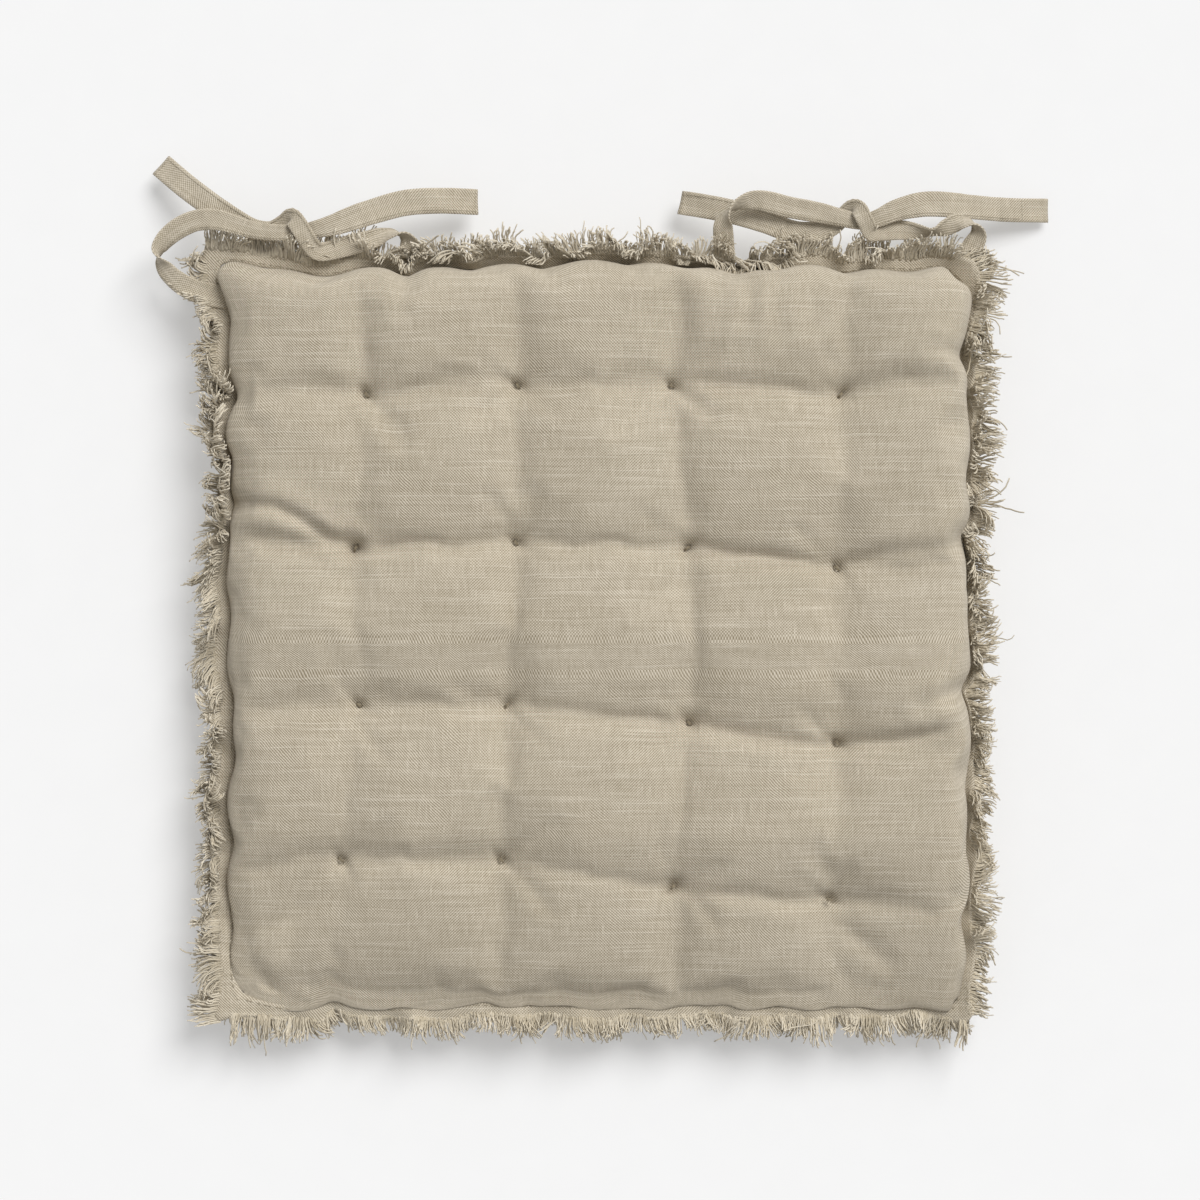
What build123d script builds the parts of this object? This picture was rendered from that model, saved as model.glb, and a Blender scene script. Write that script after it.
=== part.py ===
from build123d import *
import os

# A square tufted cushion with a raw, frayed margin on all four sides and a knotted pair of
# tie straps at each back corner. Millimetres. +Z is up, +Y is the back edge that carries the
# ties, and the origin is the centre of the underside.

# Pad: the filled body inside the seam
PAD_X = 415.0
PAD_Y = 418.0
PAD_HEIGHT = 60.0
SEAM_Z = 26.0
CORNER_RADIUS = 32.0
TOP_EDGE_RADIUS = 28.0
BOTTOM_EDGE_RADIUS = 20.0
CLOTH = 1.0

# Margin outside the seam: woven flange, then loose yarns
FLANGE_WIDTH = 8.0
FLANGE_THICKNESS = 0.8
FRINGE_WIDTH = 10.0
FRINGE_THICKNESS = 1.6
STITCH_OFFSET = 1.5
THREAD_WIDTH = 0.6
THREAD_HEIGHT = 0.4

# Tufts: a twine drawn right through the pad, with a bar stitch above and a knot below
TUFT_DIMPLE_RADIUS = 30.0
TUFT_DIMPLE_DEPTH = 14.0
UNDER_DIMPLE_RADIUS = 20.0
UNDER_DIMPLE_DEPTH = 6.0
TWINE_RADIUS = 0.75
TWINE_CLEARANCE = 0.1
BAR_LENGTH = 5.0
BAR_WIDTH = 1.8
BAR_END_RADIUS = 0.85
BAR_HEIGHT = 1.2
BAR_LIFT = 0.12
KNOT_RADIUS = 2.0
KNOT_HEIGHT = 1.6

# Four rows of four tufts, back row first, each row from left to right. They were marked by
# hand, so the rows and columns wander by a few millimetres. The third value is the angle of
# the bar stitch.
TUFTS = [
    [(-129, 135, 90), (-45, 140, -40), (40, 140, 15), (134, 135, 70)],
    [(-135, 50, 85), (-46, 53, -30), (49, 50, 10), (132, 39, -60)],
    [(-133, -37, 0), (-51, -37, 60), (50, -47, -15), (132, -58, 35)],
    [(-143, -123, -50), (-54, -123, 20), (41, -138, 80), (128, -145, -10)],
]

# Ties: folded cloth straps
TIE_WIDTH = 14.0
TIE_THICKNESS = 1.4
KNOT_BAND_WIDTH = 9.0
KNOT_GAP = 0.6
KNOT_BAND_OVERRUN = 2.0
WRAP_EDGE_RADIUS = 2.8
WRAP_LENGTH = 12.0
WRAP_DEPTH = 17.0
WRAP_LOW_Z = 29.6
WRAP_HIGH_Z = 38.6
WRAP_Z = 34.1
WRAP_ENTRY_SHIFT = -2.0
WRAP_ENTRY_Z = 31.0
WRAP_ENTRY_REACHES = (0.0, 6.0, 12.0)

# Each strap lifts about one straight line along the back of the fringe. The sewn end stays
# on the pad side of it, the free length is on the other side.
BEND_Y = 220.0
BEND_GAP = 1.0
OVER_FRINGE_Z = 30.0
SEWN_Z = 28.6

LEFT_WRAP = (-167.0, 231.0)
RIGHT_WRAP = (147.0, 231.0)

# Strap routes, from the seam outwards, as points on the strap's middle line
LEFT_SIDE_SEWN = [
    (-208, 193, SEWN_Z), (-222, 192, 29.8), (-234, 196, OVER_FRINGE_Z),
    (-242, 203, OVER_FRINGE_Z), (-244, 212, OVER_FRINGE_Z),
    (-244, BEND_Y - BEND_GAP, OVER_FRINGE_Z),
]
LEFT_SIDE_IN = [
    (-244, BEND_Y + BEND_GAP, OVER_FRINGE_Z), (-244, 224, 30.2), (-241, 231, 31.4),
    (-233, 236.5, 33), (-222, 238.5, 34.6), (-210, 237, 35.2), (-198, 233.5, 35.2),
    (-186, 231, 34.6),
]
LEFT_SIDE_OUT = [
    (-148, 233, 34.8), (-128, 238.5, 34.6), (-109, 243, 33.4), (-93, 245.5, 28),
    (-80, 246, 21), (-68, 246, 14),
]
LEFT_BACK_SEWN = [(-107, 210.6, SEWN_Z), (-107, BEND_Y - BEND_GAP, OVER_FRINGE_Z)]
LEFT_BACK_IN = [
    (-107, BEND_Y + BEND_GAP, OVER_FRINGE_Z), (-107, 224, OVER_FRINGE_Z),
    (-109, 229, OVER_FRINGE_Z), (-114.5, 233, OVER_FRINGE_Z), (-123, 234.5, OVER_FRINGE_Z),
    (-138, 231.5, OVER_FRINGE_Z),
]
LEFT_BACK_OUT = [
    (-201, 235.5, 30.6), (-216, 244, 27.6), (-231, 254, 20.5), (-246.5, 265, 11),
]
RIGHT_BACK_SEWN = [(70, 210.6, SEWN_Z), (70, BEND_Y - BEND_GAP, OVER_FRINGE_Z)]
RIGHT_BACK_IN = [
    (70, BEND_Y + BEND_GAP, OVER_FRINGE_Z), (70, 224, 30.4), (71.5, 231.5, 32),
    (76.5, 238.5, 34), (85, 242.5, 35), (97, 242.5, 35.2), (110, 240, 35.2), (126, 235, 34.8),
]
RIGHT_BACK_OUT = [
    (160, 235.5, 34.8), (171, 242, 34), (186, 247, 30.5), (204, 248.5, 24.5), (222, 247, 17.5),
    (238, 245, 11), (252, 244, 6),
]
RIGHT_SIDE_SEWN = [
    (201, 204.5, SEWN_Z), (207, 210.5, 29.6), (209.5, 215.5, OVER_FRINGE_Z),
    (210, BEND_Y - BEND_GAP, OVER_FRINGE_Z),
]
RIGHT_SIDE_IN = [
    (210, BEND_Y + BEND_GAP, OVER_FRINGE_Z), (210, 224.5, OVER_FRINGE_Z),
    (207.5, 230, OVER_FRINGE_Z), (201.5, 233, OVER_FRINGE_Z), (192, 232.5, OVER_FRINGE_Z),
    (180, 230, OVER_FRINGE_Z),
]
RIGHT_SIDE_OUT = [
    (118, 229, 31), (106, 230.5, 30.6), (94, 235, 29.4), (82, 239.5, 27), (70, 243, 23),
    (58, 245, 18), (45, 246, 12),
]


def rounded_block(grow, low_z, high_z):
    """A block with the pad's plan, grown by a margin all round, between two heights."""
    plan = RectangleRounded(PAD_X + 2 * grow, PAD_Y + 2 * grow, CORNER_RADIUS + grow)
    return Pos(0, 0, low_z) * extrude(plan, high_z - low_z)


def pad_form(inset):
    """The crowned pad without its dimples, inset all over by a thickness."""
    block = rounded_block(-inset, inset, PAD_HEIGHT - inset)
    top_edges = block.faces().sort_by(Axis.Z)[-1].edges()
    block = fillet(top_edges, TOP_EDGE_RADIUS - inset)
    bottom_edges = block.faces().sort_by(Axis.Z)[0].edges()
    return fillet(bottom_edges, BOTTOM_EDGE_RADIUS - inset)


def dimple_sphere_radius(cap_radius, depth):
    """Radius of the sphere whose cap has this rim radius and depth."""
    return (cap_radius**2 + depth**2) / (2 * depth)


def tuft_places():
    return [tuft for row in TUFTS for tuft in row]


def dimpled_pad(inset):
    """The pad drawn in at each tuft, above and below, inset all over by a thickness."""
    top_radius = dimple_sphere_radius(TUFT_DIMPLE_RADIUS, TUFT_DIMPLE_DEPTH)
    under_radius = dimple_sphere_radius(UNDER_DIMPLE_RADIUS, UNDER_DIMPLE_DEPTH)
    top_centre_z = PAD_HEIGHT - TUFT_DIMPLE_DEPTH + top_radius
    under_centre_z = UNDER_DIMPLE_DEPTH - under_radius
    pad = pad_form(inset)
    for x, y, _ in tuft_places():
        pad -= Pos(x, y, top_centre_z) * Sphere(top_radius + inset)
        pad -= Pos(x, y, under_centre_z) * Sphere(under_radius + inset)
    return pad


def twine_holes():
    radius = TWINE_RADIUS + TWINE_CLEARANCE
    return [Pos(x, y, PAD_HEIGHT / 2) * Cylinder(radius, PAD_HEIGHT) for x, y, _ in tuft_places()]


def filling(holes):
    pad = dimpled_pad(CLOTH)
    for hole in holes:
        pad -= hole
    return pad


def flange(low_z):
    """One layer of the woven margin outside the seam."""
    high_z = low_z + FLANGE_THICKNESS
    return rounded_block(FLANGE_WIDTH, low_z, high_z) - rounded_block(-CLOTH, low_z, high_z)


def panels(holes):
    """The two cloth panels: a thin shell split at the seam, each with its own flange."""
    shell = dimpled_pad(0) - dimpled_pad(CLOTH)
    for hole in holes:
        shell -= hole
    span = 2 * PAD_Y
    above = Pos(0, 0, SEAM_Z + PAD_HEIGHT / 2) * Box(span, span, PAD_HEIGHT)
    below = Pos(0, 0, SEAM_Z - PAD_HEIGHT / 2) * Box(span, span, PAD_HEIGHT)
    top = (shell & above) + flange(SEAM_Z)
    bottom = (shell & below) + flange(SEAM_Z - FLANGE_THICKNESS)
    return top, bottom


def seam_thread(low_z):
    """One thread of the lockstitch, which runs round the flange just outside the pad."""
    high_z = low_z + THREAD_HEIGHT
    outside = rounded_block(STITCH_OFFSET + THREAD_WIDTH, low_z, high_z)
    return outside - rounded_block(STITCH_OFFSET, low_z, high_z)


def fringe_sector(side):
    """A wedge from the middle of the pad that holds one side and half of each corner."""
    reach = PAD_Y
    left, right = (-reach, reach), (reach, reach)
    wedge = extrude(make_face(Polyline((0, 0), right, left, (0, 0))), PAD_HEIGHT)
    turns = {"back": 0, "left": 90, "front": 180, "right": 270}
    return Rot(0, 0, turns[side]) * wedge


def fringe(side, low_z):
    """The loose yarns of one panel along one side, as a plain strip."""
    high_z = low_z + FRINGE_THICKNESS
    outside = rounded_block(FLANGE_WIDTH + FRINGE_WIDTH, low_z, high_z)
    ring = outside - rounded_block(FLANGE_WIDTH, low_z, high_z)
    return ring & fringe_sector(side)


def tuft(x, y, angle):
    """One tuft's twine, with the bar stitch in the top dimple and the knot underneath."""
    bar_z = PAD_HEIGHT - TUFT_DIMPLE_DEPTH + BAR_LIFT
    knot_top_z = UNDER_DIMPLE_DEPTH - BAR_LIFT
    twine = extrude(Pos(0, 0, knot_top_z) * Circle(TWINE_RADIUS), bar_z - knot_top_z)
    bar_plan = RectangleRounded(BAR_LENGTH, BAR_WIDTH, BAR_END_RADIUS)
    bar = Pos(0, 0, bar_z) * extrude(bar_plan, BAR_HEIGHT)
    knot = Pos(0, 0, knot_top_z - KNOT_HEIGHT) * extrude(Circle(KNOT_RADIUS), KNOT_HEIGHT)
    return Pos(x, y, 0) * (twine + Rot(0, 0, angle) * bar + knot)


def strap(points, widths=None):
    """A flat strap along a route: level across its width, and free to slope along it."""
    route = [Vector(*point) for point in points]
    widths = widths or [TIE_WIDTH] * len(route)
    sections = []
    for i, place in enumerate(route):
        before = route[max(i - 1, 0)]
        after = route[min(i + 1, len(route) - 1)]
        ahead = Vector(after.X - before.X, after.Y - before.Y, 0).normalized()
        across = Vector(-ahead.Y, ahead.X, 0)
        plane = Plane(origin=place, x_dir=across, z_dir=ahead)
        sections.append(plane * Rectangle(widths[i], TIE_THICKNESS))
    return loft(sections, ruled=True)


def through_strap(inward, outward, wrap):
    """The strap that runs straight through the knot, narrowed where the other wraps it."""
    x, y = wrap
    side = 1 if outward[0][0] > inward[0][0] else -1
    reach = WRAP_LENGTH / 2 + KNOT_BAND_OVERRUN
    middle = [(x - side * reach, y, WRAP_Z), (x + side * reach, y, WRAP_Z)]
    widths = [TIE_WIDTH] * len(inward) + [KNOT_BAND_WIDTH] * 2 + [TIE_WIDTH] * len(outward)
    return strap(inward + middle + outward, widths)


def wrap_entry(wrap, side):
    """Points in line from the ring's face outwards, so that the strap meets it square."""
    x, y = wrap
    return [(x + side * (WRAP_LENGTH / 2 + reach), y + WRAP_ENTRY_SHIFT, WRAP_ENTRY_Z)
            for reach in WRAP_ENTRY_REACHES]


def wrapping_strap(inward, outward, wrap):
    """The strap that goes once round the other: two flat lengths that meet a ring face to face."""
    x, y = wrap
    height = WRAP_HIGH_Z - WRAP_LOW_Z
    ring = Pos(x, y, WRAP_LOW_Z + height / 2) * Box(WRAP_LENGTH, WRAP_DEPTH, height)
    ring = fillet(ring.edges().filter_by(Axis.X), WRAP_EDGE_RADIUS)
    hole = Pos(x, y, WRAP_Z) * Box(2 * WRAP_LENGTH, KNOT_BAND_WIDTH + 2 * KNOT_GAP,
                                   TIE_THICKNESS + 2 * KNOT_GAP)
    arriving = strap(inward + wrap_entry(wrap, 1)[::-1])
    leaving = strap(wrap_entry(wrap, -1) + outward)
    return Compound(children=[ring - hole, arriving, leaving])


def build():
    holes = twine_holes()
    top, bottom = panels(holes)
    nodes = {"top_panel": top, "bottom_panel": bottom, "filling": filling(holes)}
    nodes["seam_needle_thread"] = seam_thread(SEAM_Z + FLANGE_THICKNESS)
    nodes["seam_bobbin_thread"] = seam_thread(SEAM_Z - FLANGE_THICKNESS - THREAD_HEIGHT)
    for side in ("back", "left", "front", "right"):
        nodes[f"fringe_upper_{side}"] = fringe(side, SEAM_Z)
        nodes[f"fringe_lower_{side}"] = fringe(side, SEAM_Z - FRINGE_THICKNESS)
    for number, (x, y, angle) in enumerate(tuft_places(), start=1):
        nodes[f"tuft_{number:02d}"] = tuft(x, y, angle)
    nodes["tie_left_side_sewn_end"] = strap(LEFT_SIDE_SEWN)
    nodes["tie_left_side"] = through_strap(LEFT_SIDE_IN, LEFT_SIDE_OUT, LEFT_WRAP)
    nodes["tie_left_back_sewn_end"] = strap(LEFT_BACK_SEWN)
    nodes["tie_left_back"] = wrapping_strap(LEFT_BACK_IN, LEFT_BACK_OUT, LEFT_WRAP)
    nodes["tie_right_back_sewn_end"] = strap(RIGHT_BACK_SEWN)
    nodes["tie_right_back"] = through_strap(RIGHT_BACK_IN, RIGHT_BACK_OUT, RIGHT_WRAP)
    nodes["tie_right_side_sewn_end"] = strap(RIGHT_SIDE_SEWN)
    nodes["tie_right_side"] = wrapping_strap(RIGHT_SIDE_IN, RIGHT_SIDE_OUT, RIGHT_WRAP)
    return nodes


os.makedirs("parts", exist_ok=True)
for name, shape in build().items():
    export_step(shape, f"parts/{name}.step")
    print(name, round(shape.volume))
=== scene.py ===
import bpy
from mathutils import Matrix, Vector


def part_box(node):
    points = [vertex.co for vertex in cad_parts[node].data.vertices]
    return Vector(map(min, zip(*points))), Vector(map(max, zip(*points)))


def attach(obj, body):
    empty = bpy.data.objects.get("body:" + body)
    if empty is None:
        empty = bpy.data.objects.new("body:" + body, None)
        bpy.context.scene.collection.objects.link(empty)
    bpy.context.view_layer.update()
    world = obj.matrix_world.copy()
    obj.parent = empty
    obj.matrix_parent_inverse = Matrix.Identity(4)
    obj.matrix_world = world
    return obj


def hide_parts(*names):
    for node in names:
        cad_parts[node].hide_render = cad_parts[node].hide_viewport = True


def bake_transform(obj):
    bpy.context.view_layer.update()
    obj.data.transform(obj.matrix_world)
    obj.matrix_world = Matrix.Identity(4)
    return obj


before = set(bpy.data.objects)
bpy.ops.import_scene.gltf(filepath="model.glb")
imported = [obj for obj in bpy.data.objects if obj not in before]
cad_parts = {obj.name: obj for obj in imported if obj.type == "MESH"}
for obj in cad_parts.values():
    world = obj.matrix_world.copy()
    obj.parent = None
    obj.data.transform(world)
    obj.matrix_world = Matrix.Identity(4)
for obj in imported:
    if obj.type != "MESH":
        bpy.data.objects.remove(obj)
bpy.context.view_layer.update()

import math

import bpy
import numpy as np
from mathutils import Vector

# Sizes are metres, in the CAD frame: +Z up, +Y towards the back edge with the ties.
MM = 0.001


# ---------------------------------------------------------------- places from the frame
def corners(node):
    low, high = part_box(node)
    return np.array(low), np.array(high)


FLANGE_WIDTH = 8 * MM
top_low, top_high = corners("top_panel")
HALF_X = (top_high[0] - top_low[0]) / 2 - FLANGE_WIDTH
HALF_Y = (top_high[1] - top_low[1]) / 2 - FLANGE_WIDTH
SEAM_Z = corners("bottom_panel")[1][2]
PAD_TOP = top_high[2]
BAR_TOP_OVER_DIMPLE = 1.3 * MM
TUFT_NODES = [f"tuft_{n:02d}" for n in range(1, 17)]
TUFTS = [(corners(n)[0] + corners(n)[1]) / 2 for n in TUFT_NODES]
DIMPLE_Z = corners(TUFT_NODES[0])[1][2] - BAR_TOP_OVER_DIMPLE
UNDER_KNOT_Z = corners(TUFT_NODES[0])[0][2]
SIDES = ("back", "right", "front", "left")


# ---------------------------------------------------------------- mesh helpers
def make_mesh(name, points, faces, smooth=True):
    """A mesh object from an array of points and an array of triangles or quads."""
    mesh = bpy.data.meshes.new(name)
    points = np.asarray(points, np.float32)
    faces = np.asarray(faces, np.int32)
    count, size = faces.shape
    mesh.vertices.add(len(points))
    mesh.vertices.foreach_set("co", points.ravel())
    mesh.loops.add(count * size)
    mesh.loops.foreach_set("vertex_index", faces.ravel())
    mesh.polygons.add(count)
    mesh.polygons.foreach_set("loop_start", np.arange(count, dtype=np.int32) * size)
    mesh.polygons.foreach_set("use_smooth", np.full(count, smooth))
    mesh.update(calc_edges=True)
    mesh.validate()
    obj = bpy.data.objects.new(name, mesh)
    bpy.context.scene.collection.objects.link(obj)
    return obj


def set_attribute(obj, name, values):
    """Stores a vector for each vertex, which the materials read by this name."""
    attribute = obj.data.attributes.new(name, "FLOAT_VECTOR", "POINT")
    attribute.data.foreach_set("vector", np.asarray(values, np.float32).ravel())


def positions(obj):
    out = np.empty(len(obj.data.vertices) * 3, np.float32)
    obj.data.vertices.foreach_get("co", out)
    return out.reshape(-1, 3).astype(float)


def set_positions(obj, points):
    obj.data.vertices.foreach_set("co", np.asarray(points, np.float32).ravel())
    obj.data.update()


def apply_modifiers(obj):
    """Replaces an object's mesh by what its modifiers make of it, and removes them."""
    bpy.context.view_layer.update()
    graph = bpy.context.evaluated_depsgraph_get()
    mesh = bpy.data.meshes.new_from_object(obj.evaluated_get(graph), depsgraph=graph)
    obj.modifiers.clear()
    obj.data = mesh
    return obj


def smooth_noise(values, seed, waves):
    """A repeatable smooth curve through `values`: a sum of sines, about 1 in size."""
    source = np.random.default_rng(seed)
    out = np.zeros_like(values)
    for wave in waves:
        out += np.sin(values * 2 * math.pi / wave + source.uniform(0, 2 * math.pi))
    return out / math.sqrt(len(waves))


def bell(distance, width, power=2):
    """1 where the distance is 0, fading out over a width in mm."""
    return np.exp(-((distance / (width * MM)) ** power))


# ---------------------------------------------------------------- the pad
GRID = 112
SEAM_INSET = 2.4 * MM
SEAM_X = HALF_X - SEAM_INSET
SEAM_Y = HALF_Y - SEAM_INSET
SIDE_CLOTH = 19 * MM
CUT_X = SEAM_X + SIDE_CLOTH
CUT_Y = SEAM_Y + SIDE_CLOTH
# How the cloth goes round the pad's side, by its distance from the seam along the cloth:
# how far it stands outside the seam in mm, and its share of the height
ALONG = [0, 4, 8, 12, 17, 23, 30, 40, 55, 80, 120, 160]
OUTSIDE = [0, 2.4, 3.6, 3.4, 1.9, -2.0, -7.4, -16.2, -30.4, -55.2, -95.2, -135.2]
SHARE = [0, 0.12, 0.24, 0.36, 0.49, 0.61, 0.72, 0.82, 0.90, 0.96, 0.99, 1.0]
SIDE_BULGE = {"left": 0.45, "right": 0.9, "back": 0.15, "front": 0.6}
STEEPNESS = {"left": 1.1, "right": 1.5, "back": 2.1, "front": 0.72}
SIDE_INSET = {"left": 0.4 * MM, "right": 2.2 * MM, "back": 0.6 * MM, "front": 1.6 * MM}
SEAM_PULLS = {
    # side: (place along it in mm, depth in mm, width in mm) where a pull line draws it in
    "left": [(135, 3.5, 9), (101, 2.0, 7), (74, 2.6, 8), (-60, 1.0, 20)],
    "right": [(157, 3.4, 8), (57, 4.2, 9), (-28, 4.0, 7), (-150, 1.0, 25), (-192, 3.0, 9)],
    "back": [(-107, 4.5, 8), (-150, 2.0, 40), (75, 4.0, 11), (135, 2.5, 12), (0, -2.0, 60)],
    "front": [(-149, 2.6, 6), (-40, 1.8, 10), (72, 2.6, 8), (150, 1.0, 20)],
}
OUTWARD_AT_BACK_LEFT = 11 * MM
FRONT_SAG = 4 * MM
# Corners by east and north: (-1, -1) is front left
CORNER_RADIUS = {(-1, -1): 24 * MM, (-1, 1): 14 * MM, (1, -1): 13 * MM, (1, 1): 18 * MM}


SEAM_UNEVENNESS = 1.2 * MM


def pull_in(side, along):
    """How far the seam is drawn in at a place along one side, in metres."""
    noise = smooth_noise(along, SIDES.index(side) + 40, (0.11, 0.063, 0.041))
    total = SEAM_UNEVENNESS * noise + SIDE_INSET[side]
    for place, depth, width in SEAM_PULLS[side]:
        total = total + depth * MM * bell(along - place * MM, width)
    return total


def round_side(cut, seam, sign, low_side, high_side, soft):
    """Plan distance and height share for cloth at a signed distance from the middle."""
    steep = np.where(sign > 0, STEEPNESS[high_side], STEEPNESS[low_side])
    from_rim = (cut - np.abs(sign) * cut) / MM * steep
    outside = np.interp(from_rim, ALONG, OUTSIDE)
    middle = from_rim > ALONG[-1]
    bulge = np.where(sign > 0, SIDE_BULGE[high_side], SIDE_BULGE[low_side]) * (1 - soft)
    outside = np.where(outside > 0, outside * bulge, outside) / steep
    inner = seam + OUTSIDE[-1] * MM / steep
    at_inner = cut - ALONG[-1] * MM / steep
    place = np.where(middle, np.abs(sign) * cut * inner / at_inner, seam + outside * MM)
    return np.sign(sign) * place, np.interp(from_rim, ALONG, SHARE)


def corner_inset(a, b, to_corner, to_rim):
    """How far a point moves in from both sides so that the seam rounds its corner."""
    radius = np.array([[CORNER_RADIUS[east, north] for north in (-1, 1)] for east in (-1, 1)])
    radius = radius[(a > 0).astype(int), (b > 0).astype(int)]
    short = np.clip(radius - to_corner, 0, None)
    inset = (short + radius - np.sqrt((short + radius) ** 2 - 2 * short ** 2)) / 2
    return inset * np.clip(1 - to_rim / (1.5 * radius), 0, 1)


def plan(a, b):
    """Where a point of the flat panel, from -1 to 1 each way, lies in plan, and its height."""
    soft = np.clip((b - a) / 2, 0, 1) ** 8
    x, height_x = round_side(CUT_X, SEAM_X, a, "left", "right", soft)
    y, height_y = round_side(CUT_Y, SEAM_Y, b, "front", "back", soft)
    along_x = np.clip((np.abs(b) - 0.9) / 0.1, 0, 1) ** 2
    along_y = np.clip((np.abs(a) - 0.9) / 0.1, 0, 1) ** 2
    x = x * (1 - along_x) + a * SEAM_X * along_x
    y = y * (1 - along_y) + b * SEAM_Y * along_y
    to_x, to_y = np.maximum(SEAM_X - np.abs(x), 0), np.maximum(SEAM_Y - np.abs(y), 0)
    near_x, near_y = (np.clip(1 - to_side / (60 * MM), 0, 1) ** 3 for to_side in (to_x, to_y))
    dx = np.where(a > 0, -pull_in("right", y), pull_in("left", y)) * near_x
    dy = np.where(b > 0, -pull_in("back", x), pull_in("front", x)) * near_y
    to_corner = np.maximum(to_x, to_y)
    inset = corner_inset(a, b, to_corner, np.minimum(to_x, to_y))
    ear = OUTWARD_AT_BACK_LEFT * bell(to_corner, 18) * (a < 0) * (b > 0)
    x = x + dx - np.sign(a) * inset - ear
    y = y + dy - np.sign(b) * inset + ear * 0.6
    return x, y, height_x * height_y * (1 - 0.35 * soft)


def neighbours():
    """Pairs of tufts next to each other along a row or a column, as plan points."""
    pairs = []
    for row in range(4):
        for column in range(4):
            here = TUFTS[row * 4 + column][:2]
            if column < 3:
                pairs.append((here, TUFTS[row * 4 + column + 1][:2]))
            if row < 3:
                pairs.append((here, TUFTS[row * 4 + column + 4][:2]))
    return pairs


def valleys(x, y):
    """Depth of the soft valleys that run from tuft to tuft and out to the seam."""
    points = np.stack([x.ravel(), y.ravel()], -1)
    depth = np.zeros(len(points))
    for start, end in neighbours():
        distance = line_distance(points, np.array([start, end]))
        middle = np.linalg.norm(points - (start + end) / 2, axis=1)
        nearness = np.clip(middle / (45 * MM), 0, 1) ** 1.5
        along_row = abs(end[0] - start[0]) > abs(end[1] - start[1])
        at_middle, at_tuft = (6.0, 8.4) if along_row else (3.2, 7.0)
        cut = (at_middle + (at_tuft - at_middle) * nearness) * MM
        depth = np.maximum(depth, cut * bell(distance, 13, 1.5))
    for number, tuft in enumerate(TUFTS):
        row, column = divmod(number, 4)
        outward = []
        if column in (0, 3):
            outward.append(np.array([math.copysign(0.93 * SEAM_X, tuft[0]), tuft[1] * 1.03]))
        if row in (0, 3):
            outward.append(np.array([tuft[0] * 1.03, math.copysign(0.93 * SEAM_Y, tuft[1])]))
        for end in outward:
            distance = line_distance(points, np.array([tuft[:2], end]))
            reach = np.linalg.norm(points - tuft[:2], axis=1)
            depth = np.maximum(depth, 6.4 * MM * bell(distance, 12, 1.5) * bell(reach, 60))
    return depth.reshape(x.shape)


def along_cloth(place, height):
    """Distance along the cloth from the middle of one of its lines."""
    reach = np.concatenate([[0], np.cumsum(np.hypot(np.diff(place), np.diff(height)))])
    return reach - reach[len(reach) // 2]


def pad_grid():
    """The closed pad before it is filled: two grids that share their rim."""
    t = np.linspace(-1, 1, GRID + 1)
    a, b = np.meshgrid(t, t, indexing="ij")
    x, y, height = plan(a, b)
    z_top = SEAM_Z + (PAD_TOP - 3 * MM - SEAM_Z) * height - valleys(x, y) * height ** 4
    z_top -= FRONT_SAG * np.clip((-b - 0.62) / 0.38, 0, 1) * height
    z_under = SEAM_Z * (1 - height) + 0.5 * MM
    for tuft in TUFTS:
        distance = np.hypot(x - tuft[0], y - tuft[1])
        z_top = z_top + (DIMPLE_Z - z_top) * bell(distance, 13, 1.2)
        z_under = z_under + (UNDER_KNOT_Z + 1.5 * MM - z_under) * bell(distance, 9, 1.3)
    rim = (np.abs(a) == 1) | (np.abs(b) == 1)
    n = GRID + 1
    top_index = np.arange(n * n).reshape(n, n)
    under_index = np.where(rim, top_index, -1)
    under_index[~rim] = n * n + np.arange((~rim).sum())
    top = np.stack([x, y, z_top], -1).reshape(-1, 3)
    under = np.stack([x, y, z_under], -1)[~rim]
    top[rim.ravel(), 2] = SEAM_Z
    rise = (PAD_TOP - SEAM_Z) * height
    middle = GRID // 2
    u = along_cloth(x[:, middle], rise[:, middle])[:, None] + 0 * a
    v = along_cloth(y[middle], rise[middle])[None, :] + 0 * a
    flat = np.stack([u, v, 0 * a], -1).reshape(-1, 3)
    flat = np.concatenate([flat, np.stack([u, v, 0 * a + 1], -1)[~rim]])
    quads = []
    for index, order in ((top_index, (0, 1, 2, 3)), (under_index, (3, 2, 1, 0))):
        ring = np.stack([index[:-1, :-1], index[1:, :-1], index[1:, 1:], index[:-1, 1:]], -1)
        quads.append(ring.reshape(-1, 4)[:, order])
    rim_order = np.concatenate([
        top_index[:-1, -1], top_index[-1, ::-1][:-1], top_index[::-1, 0][:-1], top_index[0, :-1]])
    return np.concatenate([top, under]), np.concatenate(quads), flat, rim_order


PRESSURE_STEPS = 26
MOST_SWELL = 14 * MM


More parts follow.
